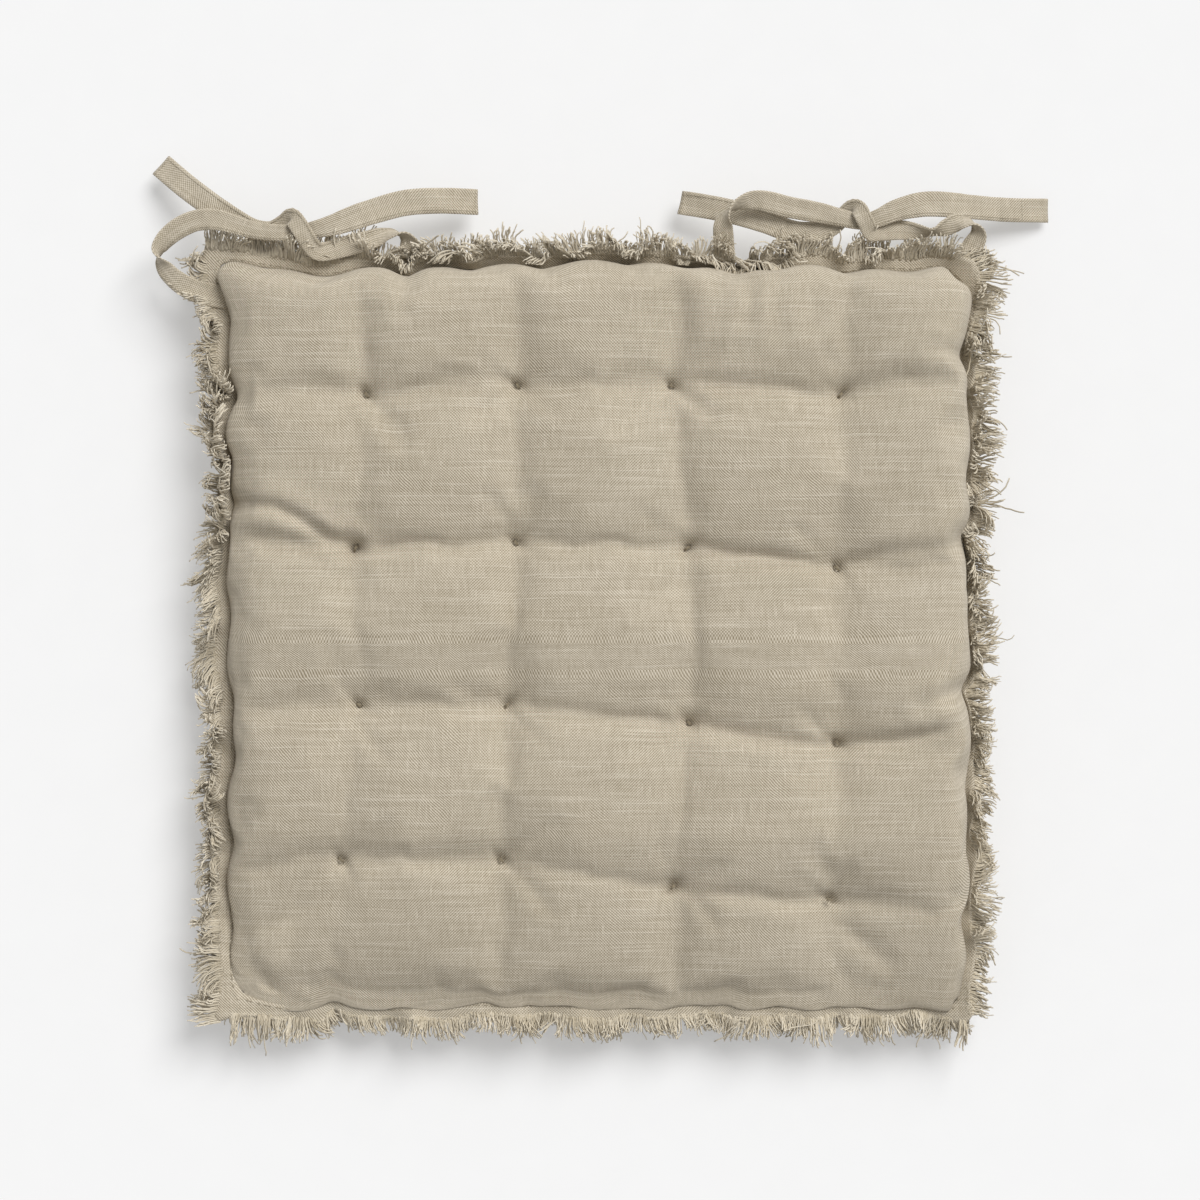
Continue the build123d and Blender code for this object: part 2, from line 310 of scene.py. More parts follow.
def fill_with_pressure(pad, pinned):
    """Cloth simulation: the seam and tufts hold, and the filling pushes the cloth out."""
    group = pad.vertex_groups.new(name="held")
    group.add([int(i) for i in pinned], 1.0, "REPLACE")
    cloth = pad.modifiers.new("Cloth", "CLOTH")
    settings = cloth.settings
    settings.vertex_group_mass = "held"
    settings.pin_stiffness = 1.0
    settings.quality = 6
    settings.mass = 0.25
    settings.tension_stiffness = 25
    settings.compression_stiffness = 12
    settings.shear_stiffness = 8
    settings.bending_stiffness = 1.2
    settings.use_pressure = True
    settings.uniform_pressure_force = 5.0
    settings.shrink_min = -0.022
    settings.effector_weights.gravity = 0
    cloth.collision_settings.use_collision = False
    cloth.point_cache.frame_start = 1
    cloth.point_cache.frame_end = 40
    before = positions(pad)
    scene = bpy.context.scene
    for step in range(1, PRESSURE_STEPS + 1):
        scene.frame_set(step)
    apply_modifiers(pad)
    moved = positions(pad) - before
    length = np.linalg.norm(moved, axis=1, keepdims=True)
    moved *= np.minimum(1, MOST_SWELL / np.maximum(length, 1e-9))
    set_positions(pad, before + moved)
    scene.frame_set(1)


# Pull lines that cross the pad: points in mm, depth in mm, width in mm. The cloth is lower
# on the line and a little raised along both sides of it.
CREASES = [
    ([(-201, 74), (-180, 73), (-165, 66), (-150, 56), (-137, 50)], 3.4, 3.4),
    ([(-200, 57), (-175, 55), (-150, 51), (-136, 50)], 1.6, 4.0),
    ([(-146, 66), (-139, 57), (-135, 51)], 1.4, 2.6),
    ([(-126, 178), (-131, 163), (-131, 148), (-129, 137)], 1.0, 4.0),
    ([(-160, 141), (-145, 138), (-130, 135), (-110, 136), (-85, 144)], 0.8, 3.6),
    ([(-90, 147), (-65, 145), (-47, 140), (-30, 143)], 1.0, 3.0),
    ([(-134, 50), (-90, 53), (-46, 53), (0, 50), (48, 49)], 0.7, 4.5),
    ([(40, 140), (62, 142), (90, 140), (115, 135), (134, 134)], 0.9, 4.0),
    ([(134, 135), (155, 142), (180, 144), (200, 143)], 0.8, 4.0),
    ([(185, 160), (195, 158), (204, 155)], 2.0, 3.0),
    ([(49, 50), (80, 46), (112, 43), (132, 38), (155, 47), (200, 51)], 1.8, 4.0),
    ([(50, -47), (75, -54), (105, -59), (131, -60), (160, -57), (198, -50)], 2.2, 3.2),
    ([(-20, -46), (10, -46), (50, -46)], 0.9, 3.4),
    ([(204, -26), (193, -32), (178, -36)], 2.2, 3.5),
    ([(24, -139), (41, -138), (75, -143), (105, -147), (127, -146), (160, -146)], 1.0, 3.6),
    ([(41, -138), (46, -150), (47, -165)], 0.9, 3.4),
    ([(-143, -123), (-100, -121), (-55, -122), (-20, -124)], 0.5, 5.0),
    ([(-133, -37), (-90, -38), (-51, -37), (-25, -38)], 0.5, 5.0),
    ([(82, 200), (83, 188), (82, 176)], 2.4, 3.4),
    ([(45, 196), (47, 180), (46, 160)], 1.4, 4.5),
    ([(100, 196), (98, 180), (100, 168)], 1.2, 4.0),
    ([(118, 200), (116, 186), (118, 172)], 1.3, 5.0),
    ([(160, 196), (150, 180), (140, 160)], 0.6, 6.0),
    ([(-107, 200), (-109, 190), (-108, 180)], 1.6, 3.6),
    ([(-200, 195), (-190, 180), (-182, 160)], 0.8, 8.0),
    ([(-193, -186), (-184, -196), (-175, -204)], 2.4, 4.0),
    ([(49, 46), (52, 20), (51, -5), (50, -40)], 0.6, 5.0),
    ([(40, 138), (46, 110), (48, 80), (49, 55)], 0.6, 5.0),
    ([(-45, 138), (-42, 110), (-44, 80)], 0.5, 5.0),
    ([(-135, 46), (-140, 25), (-144, 0)], 0.5, 5.0),
    ([(132, -60), (131, -85), (129, -100)], 0.5, 5.0),
]


def line_distance(points, line):
    """Distance in plan to a line of points."""
    best = np.full(len(points), 1.0)
    for start, end in zip(line[:-1], line[1:]):
        run = end - start
        along = np.clip((points - start) @ run / (run @ run), 0, 1)
        offset = points - (start + along[:, None] * run)
        best = np.minimum(best, np.linalg.norm(offset, axis=1))
    return best


def press_creases(points):
    """Lowers the top cloth along the pull lines, fading out towards their far ends."""
    top = points[:, 2] > SEAM_Z + 2 * MM
    drop = np.zeros(len(points))
    for route, depth, width in CREASES:
        line = np.array(route, float) * MM
        distance = line_distance(points[:, :2], line)
        to_end = np.linalg.norm(points[:, :2] - line[-1], axis=1)
        to_start = np.linalg.norm(points[:, :2] - line[0], axis=1)
        fade = np.clip(np.minimum(to_end, to_start) / (12 * MM), 0.35, 1)
        shoulder = 0.45 * bell(distance - 2.4 * width * MM, 1.6 * width)
        drop = drop + depth * MM * fade * (bell(distance, width) - shoulder)
    points[top, 2] -= drop[top]
    return points


# How far the filled cloth slopes down towards each side: depth and reach in mm
MARGIN_SLOPES = {"front": (20, 100), "left": (4.5, 60), "right": (-9, 70), "back": (0.0, 40)}


def slope_margins(points):
    """Lowers the top cloth towards the seam, most at the front, where the filling is thin."""
    to_side = {"front": points[:, 1] + HALF_Y, "back": HALF_Y - points[:, 1],
               "left": points[:, 0] + HALF_X, "right": HALF_X - points[:, 0]}
    over_seam = np.clip((points[:, 2] - SEAM_Z) / (22 * MM), 0, 1)
    for side, (depth, reach) in MARGIN_SLOPES.items():
        near = np.clip(1 - to_side[side] / (reach * MM), 0, 1)
        points[:, 2] -= depth * MM * near ** 1.2 * over_seam
    return points


def tuft_heading(number):
    """The direction of a tuft's bar, from the long way of its CAD node's box."""
    low, high = corners(TUFT_NODES[number])
    source = np.random.default_rng(700 + number)
    return math.atan2(high[1] - low[1], high[0] - low[0]) * source.choice([-1, 1])


PINCH_DEPTH = 5 * MM


def pinch_tufts(points):
    """Draws the cloth sharply in at each tuft, where the twine goes down, in small rays."""
    for number, tuft in enumerate(TUFTS):
        x, y = points[:, 0] - tuft[0], points[:, 1] - tuft[1]
        distance, angle = np.hypot(x, y), np.arctan2(y, x)
        heading = tuft_heading(number)
        along = x * math.cos(heading) + y * math.sin(heading)
        over = -x * math.sin(heading) + y * math.cos(heading)
        slit = np.hypot(along / (4.2 * MM), over / (2.2 * MM))
        above = points[:, 2] > SEAM_Z
        source = np.random.default_rng(500 + number)
        rays = np.zeros(len(points))
        for ray in range(4):
            way = heading + ray * math.pi / 2 + source.uniform(-0.3, 0.3)
            turn = np.abs((angle - way + math.pi) % (2 * math.pi) - math.pi)
            across = distance * np.sin(np.minimum(turn, math.pi / 2))
            ray_depth = source.uniform(0.9, 2.0) * MM
            rays += ray_depth * bell(across, 2.2) * (turn < 1.4)
        rays *= bell(distance, 12) * np.clip(distance / (3 * MM), 0.5, 1)
        pinch = PINCH_DEPTH * np.exp(-(slit ** 2))
        points[above, 2] -= (pinch + rays)[above]
    return points


def shape_cloth(points):
    """Adds slopes, creases and pinches to the filled form. The top stays above the seam."""
    top = points[:, 2] > SEAM_Z
    shaped = pinch_tufts(press_creases(slope_margins(points)))
    shaped[top, 2] = np.maximum(shaped[top, 2], SEAM_Z)
    shaped[:, 2] = np.maximum(shaped[:, 2], 0.0)
    return shaped


CLOTH_TO_FILLING = 6 * MM


def inner_filling(pad):
    """The fibre filling: the pad's form just inside its cloth."""
    count = len(pad.data.vertices)
    normals = np.empty(count * 3, np.float32)
    pad.data.vertices.foreach_get("normal", normals)
    cover = positions(pad)
    top = cover[:, 2] > SEAM_Z
    depth = np.minimum(CLOTH_TO_FILLING, 0.4 * np.abs(cover[:, 2] - SEAM_Z))
    inside = cover - normals.reshape(-1, 3) * depth[:, None]
    inside[:, :2] *= 0.98
    inside, cover = shape_cloth(inside), shape_cloth(cover)
    inside[top, 2] = np.minimum(inside[top, 2], cover[top, 2] - 2 * MM)
    inside[~top, 2] = np.clip(inside[~top, 2], 2 * MM, SEAM_Z - 2 * MM)
    quads = np.empty(len(pad.data.loops), np.int32)
    pad.data.loops.foreach_get("vertex_index", quads)
    return make_mesh("cushion_filling", inside, quads.reshape(-1, 4))


def make_pad():
    points, quads, flat, rim = pad_grid()
    pad = make_mesh("cushion_cover", points, quads)
    set_attribute(pad, "cloth", flat)
    held = list(rim)
    for tuft in TUFTS:
        distance = np.hypot(points[:, 0] - tuft[0], points[:, 1] - tuft[1])
        for layer in (points[:, 2] > SEAM_Z, points[:, 2] < SEAM_Z):
            held += list(np.argsort(np.where(layer, distance, 1))[:4])
    fill_with_pressure(pad, held)
    rim_points = positions(pad)[rim]
    filling = inner_filling(pad)
    subdivide = pad.modifiers.new("Subdivision", "SUBSURF")
    subdivide.levels = 1
    subdivide.render_levels = 1
    subdivide.boundary_smooth = "PRESERVE_CORNERS"
    apply_modifiers(pad)
    set_positions(pad, shape_cloth(positions(pad)))
    return pad, filling, rim_points


# ---------------------------------------------------------------- seam line
def resample(points, step):
    """A closed line of points at even spacing, with its outward normals in plan."""
    closed = np.vstack([points, points[:1]])
    runs = np.linalg.norm(np.diff(closed, axis=0), axis=1)
    reach = np.concatenate([[0], np.cumsum(runs)])
    count = int(round(reach[-1] / step))
    at = np.arange(count) * reach[-1] / count
    line = np.stack([np.interp(at, reach, closed[:, k]) for k in range(3)], -1)
    tangent = np.zeros_like(line)
    for spread in (1, 2, 3, 4):
        tangent += np.roll(line, -spread, 0) - np.roll(line, spread, 0)
    tangent[:, 2] = 0
    tangent /= np.linalg.norm(tangent, axis=1, keepdims=True)
    outward = np.stack([-tangent[:, 1], tangent[:, 0], 0 * tangent[:, 0]], -1)
    return line, tangent, outward, at


def side_of(line):
    """Which side each point of the seam belongs to, and its place along that side."""
    x, y = line[:, 0], line[:, 1]
    corner_ways = ((1, 1), (1, -1), (-1, -1))
    turns = [int(np.argmax(x * east + y * north)) for east, north in corner_ways]
    side = np.searchsorted(turns, np.arange(len(line)), side="right")
    return side, np.where(side % 2 == 1, y, x)


# Tilt of the flange above level, in degrees, at places along each side in mm
TILTS = {
    "back": [(-209, -8), (-190, -4), (-160, 4), (-125, 12), (-114, 40), (-100, 44), (15, 46),
             (40, 34), (60, 62), (100, 72), (112, 24), (140, 4), (180, 2), (209, 12)],
    "right": [(-209, 10), (-170, 30), (-120, 42), (-60, 34), (-28, 55), (0, 40), (50, 56),
              (75, 40), (150, 40), (163, 44), (209, 24)],
    "front": [(-209, 0), (-185, -10), (-150, -26), (-120, -22), (-90, -8), (-40, -14), (0, -10),
              (80, -20), (160, -12), (209, -2)],
    "left": [(-209, 4), (-150, 8), (-60, 2), (20, 10), (60, 34), (100, 48), (120, 24),
             (140, 30), (170, 8), (190, -6), (209, -8)],
}


FLANGE_HALF_THICKNESS = 0.35 * MM
FLANGE_STEPS = 5
# How much of the square corner of each panel's cloth is left outside the rounded seam
CORNER_EAR = {(-1, -1): 24 * MM, (-1, 1): 8 * MM, (1, -1): 14 * MM, (1, 1): 13 * MM}
FLANGE_SHARE = {"back": 1.15, "right": 1.1, "front": 1.15, "left": 1.35}


def flange_tilt(side, place):
    tilt = np.zeros(len(side))
    for number, name in enumerate(SIDES):
        known = np.array(TILTS[name], float)
        here = side == number
        tilt[here] = np.interp(place[here], known[:, 0] * MM, known[:, 1])
    window = np.hanning(17)
    window /= window.sum()
    wrapped = np.concatenate([tilt[-8:], tilt, tilt[:8]])
    return np.convolve(wrapped, window, "valid")


class Margin:
    """One panel's cloth outside the seam: its woven flange and where its yarns start."""

    def __init__(self, line, tangent, outward, at, layer):
        sign = 1 if layer == "upper" else -1
        side, place = side_of(line)
        tilt = flange_tilt(side, place) + sign * 5
        tilt += 9 * smooth_noise(at, 60 + sign, (0.052, 0.031, 0.019))
        tilt -= 8 if layer == "lower" else 0
        tilt = np.radians(tilt)
        side_width = np.array([FLANGE_SHARE[name] for name in SIDES])[side]
        unevenness = 0.10 * smooth_noise(at, 70 + sign, (0.08, 0.04, 0.023))
        width = FLANGE_WIDTH * side_width * (0.95 + unevenness)
        sway = 0.10 * smooth_noise(at, 80 + sign, (0.06, 0.035))
        curl = np.radians(14) * smooth_noise(at, 90 + sign, (0.045, 0.028))
        squareness = np.maximum(np.abs(outward[:, :1]), np.abs(outward[:, 1:2]))[:, 0]
        ear = np.array([CORNER_EAR[x, y] for x, y in np.sign(line[:, :2]).astype(int)])
        width = (width + ear) / squareness - ear
        rows = [line + np.array([0, 0, sign * FLANGE_HALF_THICKNESS])]
        flat = [line]
        for step in range(1, FLANGE_STEPS + 1):
            bend = tilt + curl * step / FLANGE_STEPS
            direction = (outward + sway[:, None] * tangent) * np.cos(bend)[:, None]
            direction = direction + np.array([0, 0, 1]) * np.sin(bend)[:, None]
            rows.append(rows[-1] + direction * (width / FLANGE_STEPS)[:, None])
            flat.append(line + outward * (width * step / FLANGE_STEPS)[:, None])
        self.rows = np.array(rows)
        self.flat = np.array(flat)
        self.tip = rows[-1]
        direction = direction / np.linalg.norm(direction, axis=1, keepdims=True)
        self.tangent = tangent
        self.outward = outward
        square = np.array([(0, 1, 0), (1, 0, 0), (0, -1, 0), (-1, 0, 0)], float)[side]
        lie = np.clip((1 - squareness) / 0.12, 0, 1)[:, None] * 0.85
        combed = direction * (1 - lie) + square * lie * np.array([1, 1, 0])
        combed[:, 2] = direction[:, 2]
        self.combed = combed / np.linalg.norm(combed, axis=1, keepdims=True)
        self.side = side
        self.place = place
        self.at = at
        self.layer = layer
        self.upward = np.cross(direction, -tangent)
        flip = np.sign(np.sum(self.upward * np.array([0, 0, 1]), axis=1, keepdims=True))
        self.upward = self.upward * np.where(flip == 0, 1, flip)


def make_flange(margin):
    """The woven strip as a closed band that follows the whole seam."""
    rows = margin.rows
    up = np.broadcast_to(margin.upward, rows.shape) * FLANGE_HALF_THICKNESS
    loop = np.concatenate([rows + up, (rows - up)[::-1]])
    count = rows.shape[1]
    ring = len(loop)
    points = loop.transpose(1, 0, 2).reshape(-1, 3)
    i = np.arange(count)[:, None]
    j = np.arange(ring)[None, :]
    following, other = (i + 1) % count, (j + 1) % ring
    quads = np.stack([i * ring + j, following * ring + j, following * ring + other,
                      i * ring + other], -1).reshape(-1, 4)
    if margin.layer == "upper":
        quads = quads[:, ::-1]
    flange = make_mesh(f"flange_{margin.layer}", points, quads)
    cloth = np.concatenate([margin.flat, margin.flat[::-1]]).transpose(1, 0, 2)
    set_attribute(flange, "cloth", cloth.reshape(-1, 3))
    return flange


# ---------------------------------------------------------------- the fringe
YARN_SIDES = 3
YARN_STEPS = 10
YARN_PITCH = 0.47 * MM
YARN_RADIUS = 0.54 * MM
YARN_LENGTH = 13.5 * MM
STRAY_SHARE = 0.025


def tubes(paths, radii, sides):
    """Triangles of many tubes at once. paths is (tube, step, 3) and radii (tube, step)."""
    count, steps, _ = paths.shape
    ahead = np.gradient(paths, axis=1)
    ahead /= np.maximum(np.linalg.norm(ahead, axis=2, keepdims=True), 1e-9)
    helper = np.where(np.abs(ahead[:, :1, 2:3]) > 0.8, [[[1.0, 0, 0]]], [[[0, 0, 1.0]]])
    first = np.cross(ahead, np.broadcast_to(helper, ahead.shape))
    first /= np.maximum(np.linalg.norm(first, axis=2, keepdims=True), 1e-9)
    second = np.cross(ahead, first)
    angles = np.arange(sides) * 2 * math.pi / sides
    ring = first[:, :, None] * np.cos(angles)[:, None]
    ring = ring + second[:, :, None] * np.sin(angles)[:, None]
    points = paths[:, :, None] + ring * radii[:, :, None, None]
    points = points.reshape(-1, 3)
    tube, step, spoke = np.meshgrid(np.arange(count), np.arange(steps - 1), np.arange(sides),
                                    indexing="ij")
    base = tube * steps * sides + step * sides
    following = (spoke + 1) % sides
    low, low_next = base + spoke, base + following
    high, high_next = low + sides, low_next + sides
    walls = np.concatenate([
        np.stack([low, low_next, high_next], -1).reshape(-1, 3),
        np.stack([low, high_next, high], -1).reshape(-1, 3)])
    spokes = np.arange(1, sides - 1)
    start = np.arange(count)[:, None] * steps * sides
    end = start + (steps - 1) * sides
    caps = [np.stack([start + 0 * spokes, start + spokes + 1, start + spokes], -1).reshape(-1, 3),
            np.stack([end + 0 * spokes, end + spokes, end + spokes + 1], -1).reshape(-1, 3)]
    return points, np.concatenate([walls] + caps)


def clumps(count, source, smallest=7, largest=22):
    """Which clump each yarn belongs to, and its place across that clump from -1 to 1."""
    label = np.zeros(count, int)
    across = np.zeros(count)
    start, number = 0, 0
    while start < count:
        size = min(int(source.integers(smallest, largest)), count - start)
        label[start:start + size] = number
        across[start:start + size] = np.linspace(-1, 1, size)
        start += size
        number += 1
    return label, across, number


# How the yarns lie along each stretch: side, from and to in mm, lean along the seam, lift,
# curl up and inward, spread of the curl between clumps (degrees), and length factor
STRETCHES = [
    ("back", -209, -185, 0, 10, 30, 40, 1.0), ("back", -185, -122, -10, 10, 4, 10, 1.12),
    ("back", -122, -96, 20, 10, 150, 50, 0.9), ("back", -96, 56, -12, -14, 75, 45, 1.05),
    ("back", 56, 107, 10, -10, 190, 40, 1.35), ("back", 107, 150, 15, 6, 40, 40, 1.0),
    ("back", 150, 209, 10, 20, 60, 60, 1.0),
    ("right", 150, 209, 5, 0, 20, 70, 1.15), ("right", 70, 150, -5, -12, 25, 60, 1.0),
    ("right", 20, 70, -10, -10, 90, 60, 0.95), ("right", -209, 20, -8, -18, 15, 60, 0.95),
    ("front", -209, -160, 0, 6, 10, 30, 1.0), ("front", -160, -60, 12, 4, 5, 18, 0.75),
    ("front", -60, 120, 5, 6, 25, 50, 0.9), ("front", 120, 209, 5, 6, 15, 40, 0.95),
    ("left", -209, -150, -5, 12, 40, 50, 1.0), ("left", -150, -40, -25, 22, 110, 60, 1.05),
    ("left", -40, 60, -24, 6, 22, 30, 1.0), ("left", 60, 130, 15, 10, 120, 60, 1.1),
    ("left", 130, 209, 10, 14, 85, 60, 1.0),
]


def stretch_values(name, place):
    """The lie of the yarns at places along one side, eased from stretch to stretch."""
    rows = sorted(row[1:] for row in STRETCHES if row[0] == name)
    known = []
    for start, end, *values in rows:
        ease = min(6, (end - start) / 4)
        known += [(start + ease, *values), (end - ease, *values)]
    known = np.array(known)
    return [np.interp(place, known[:, 0] * MM, known[:, k]) for k in range(1, known.shape[1])]


def keep_outside(paths, root, outward, name, free):
    """Moves yarns that curl back over the seam out of the pad, except where they lie on it."""
    height = paths[:, :, 2] - SEAM_Z
    bulge = np.interp(height, [0, 4 * MM, 10 * MM, 16 * MM], [0.2, 3.4, 3.4, 0.5]) * MM
    wanted = 1.3 * MM + bulge * SIDE_BULGE[name]
    offset = np.sum((paths - root[:, None]) * outward[:, None], axis=2)
    shortfall = np.where(free[:, None], np.maximum(wanted - offset, 0), 0)
    shortfall[:, 0] = 0
    return paths + outward[:, None] * shortfall[..., None]


def make_fringe(margin, side_number):
    """The loose yarns along one side of one panel's flange."""
    layer, name = margin.layer, SIDES[side_number]
    source = np.random.default_rng(300 + side_number * 2 + (layer == "upper"))
    here = np.flatnonzero(margin.side == side_number)
    runs = np.linalg.norm(np.diff(margin.tip[here], axis=0), axis=1)
    reach = np.concatenate([[0], np.cumsum(runs)])
    count = int(reach[-1] / YARN_PITCH)
    where = (np.arange(count) + source.uniform(-0.45, 0.45, count)) / count * reach[-1]
    where = np.clip(np.interp(where, reach, np.arange(len(here))), 0, len(here) - 1.001)
    low = where.astype(int)
    part = (where - low)[:, None]

    def at(values):
        return values[here[low]] * (1 - part) + values[here[low + 1]] * part

    tip, ahead, along, up, root, outward = map(at, (
        margin.tip, margin.combed, margin.tangent, margin.upward, margin.rows[0], margin.outward))
    place = at(margin.place[:, None])[:, 0]
    label, across, number = clumps(count, source)
    base_lean, base_lift, base_curl, spread, stretch_length = stretch_values(name, place)

    def by_clump(spread):
        return source.normal(0, spread, number)[label]

    def by_yarn(spread):
        return source.normal(0, spread, count)

    travel = np.sign(along[:, 0 if name in ("back", "front") else 1])
    fan = np.radians(source.uniform(-16, 22, number))[label] * across
    lean = np.radians(base_lean) * travel + np.radians(by_clump(12)) + fan
    lean = lean + np.radians(by_yarn(5))
    lift = np.radians(base_lift + by_clump(10) + by_yarn(5))
    curl = np.radians(base_curl + spread * by_clump(0.8) + by_yarn(9))
    twist = np.radians(by_clump(26) + by_yarn(10))
    wave_phase = source.uniform(0, 2 * math.pi, number)[label] + by_yarn(0.5)
    wave_turn = np.radians(source.uniform(8, 34, count))
    long = YARN_LENGTH * np.clip(source.normal(1, 0.14, number), 0.65, 1.3)[label]
    long = long * stretch_length * np.clip(source.normal(1, 0.10, count), 0.5, 1.25)
    stray = source.uniform(0, 1, count) < STRAY_SHARE
    long[stray] *= 1.45
    lean[stray] += source.normal(0, 0.6, stray.sum())
    if layer == "lower":
        lift = lift - np.radians(14)
        curl = curl * 0.6 - np.radians(10)
        long = long * 0.95
    paths = np.zeros((count, YARN_STEPS + 1, 3))
    on_cloth = source.uniform(1.2, 3.4, count)[:, None] * MM
    paths[:, 0] = tip - ahead * on_cloth + up * 0.15 * MM
    crimp = source.uniform(0.08, 0.24, count) * MM
    phase = source.uniform(0, 2 * math.pi, count)
    centre = paths[:, 0].copy()
    for step in range(1, YARN_STEPS + 1):
        share = (step - 0.5) / YARN_STEPS
        bent = share ** 1.4
        angle = lift + curl * bent
        sideways = lean * min(1.0, share * 3) + twist * bent
        sideways = sideways + wave_turn * bent * np.sin(wave_phase + share * 8)
        heading = (ahead * (np.cos(angle) * np.cos(sideways))[:, None]
                   + along * np.sin(sideways)[:, None]
                   + up * (np.sin(angle) * np.cos(sideways))[:, None])
        centre = centre + heading * (long / YARN_STEPS)[:, None]
        wave = np.sin(phase + step * 2.3)[:, None] * crimp[:, None]
        wave_up = np.cos(phase + step * 2.3)[:, None] * crimp[:, None]
        paths[:, step] = centre + along * wave + up * wave_up
    paths = keep_outside(paths, root, outward, name, base_curl < 140)
    paths[:, :, 2] = np.maximum(paths[:, :, 2], 1.2 * MM)
    radii = YARN_RADIUS * np.clip(source.normal(1, 0.16, count), 0.6, 1.45)[:, None]
    radii = radii * np.linspace(1.0, 0.76, YARN_STEPS + 1)[None, :]
    points, faces = tubes(paths, radii, YARN_SIDES)
    fringe = make_mesh(f"yarns_{layer}_{name}", points, faces)
    tone = source.uniform(0, 1, number)[label] * 0.5 + source.uniform(0, 0.5, count)
    shade = np.repeat(tone, (YARN_STEPS + 1) * YARN_SIDES)
    share = np.tile(np.repeat(np.linspace(0, 1, YARN_STEPS + 1), YARN_SIDES), count)
    set_attribute(fringe, "yarn", np.stack([shade, share, 0 * share], -1))
    return fringe


# ---------------------------------------------------------------- sewing and twine
STITCH_PITCH = 3.2 * MM
STITCH_RADIUS = 0.24 * MM


def short_arcs(starts, ends, ups, radius, rise, steps=5):
    """Paths and radii of small arched stitches from starts to ends."""
    share = np.linspace(0, 1, steps)[None, :, None]
    paths = starts[:, None] * (1 - share) + ends[:, None] * share
    paths = paths + ups[:, None] * (np.sin(math.pi * share) * 1.6 - 0.6) * rise
    return paths, np.full(paths.shape[:2], radius)


def make_seam_stitches(margin):
    """One row of stitches on the flange beside the seam."""
    row = margin.rows[1] + margin.upward * (0.4 * MM if margin.layer == "upper" else -0.4 * MM)
    count = int(len(row) * (margin.at[1] - margin.at[0]) / STITCH_PITCH)
    place = np.arange(count) * len(row) / count
    index = place.astype(int) % len(row)
    towards = margin.tangent[index] * STITCH_PITCH * 0.36
    outward = margin.upward[index] * (1 if margin.layer == "upper" else -1)
    paths, radii = short_arcs(row[index] - towards, row[index] + towards, outward,
                              STITCH_RADIUS, 0.25 * MM)
    points, faces = tubes(paths, radii, 4)
    return make_mesh(f"seam_stitches_{margin.layer}", points, faces)


TWINE_RADIUS = 0.33 * MM
BAR_REACH = 2.0 * MM
BAR_BELOW_DIMPLE = 2.6 * MM


def make_tuft(number, tuft):
    """One tuft: twine down through the pad, a short double bar on top and a knot below."""
    source = np.random.default_rng(800 + number)
    heading = tuft_heading(number)
    top = DIMPLE_Z - BAR_BELOW_DIMPLE
    under = UNDER_KNOT_Z
    share = np.linspace(0, 1, 9)
    paths = []

    def add(x, y, z):
        paths.append(np.stack([tuft[0] + x, tuft[1] + y, z], -1))

    for offset in (-0.32 * MM, 0.32 * MM):
        turn = heading + source.uniform(-0.35, 0.35)
        run = (share * 2 - 1) * BAR_REACH * source.uniform(0.8, 1.1)
        add(run * math.cos(turn) - offset * math.sin(turn),
            run * math.sin(turn) + offset * math.cos(turn),
            top + 1.1 * MM * np.sin(math.pi * share) - 1.6 * MM * (share * 2 - 1) ** 4)
    add(0 * share, 0 * share, top * (1 - share) + (under + 1.5 * MM) * share)
    for loop in range(2):
        turn = share * 2 * math.pi + loop * 1.9
        add(1.5 * MM * np.cos(turn), 1.2 * MM * np.sin(turn + 0.4 * loop),
            under + (0.9 + 0.6 * loop) * MM + 0.4 * MM * np.sin(turn * 2))
    for end in range(2):
        turn = heading + 1.2 + end * 2.6
        run = share * 5.5 * MM
        add(run * np.cos(turn + share), run * np.sin(turn + share),
            under + 1.2 * MM - 0.6 * MM * share)
    paths = np.array(paths)
    points, faces = tubes(paths, np.full(paths.shape[:2], TWINE_RADIUS), 6)
    return make_mesh(f"tuft_twine_{number + 1:02d}", points, faces)


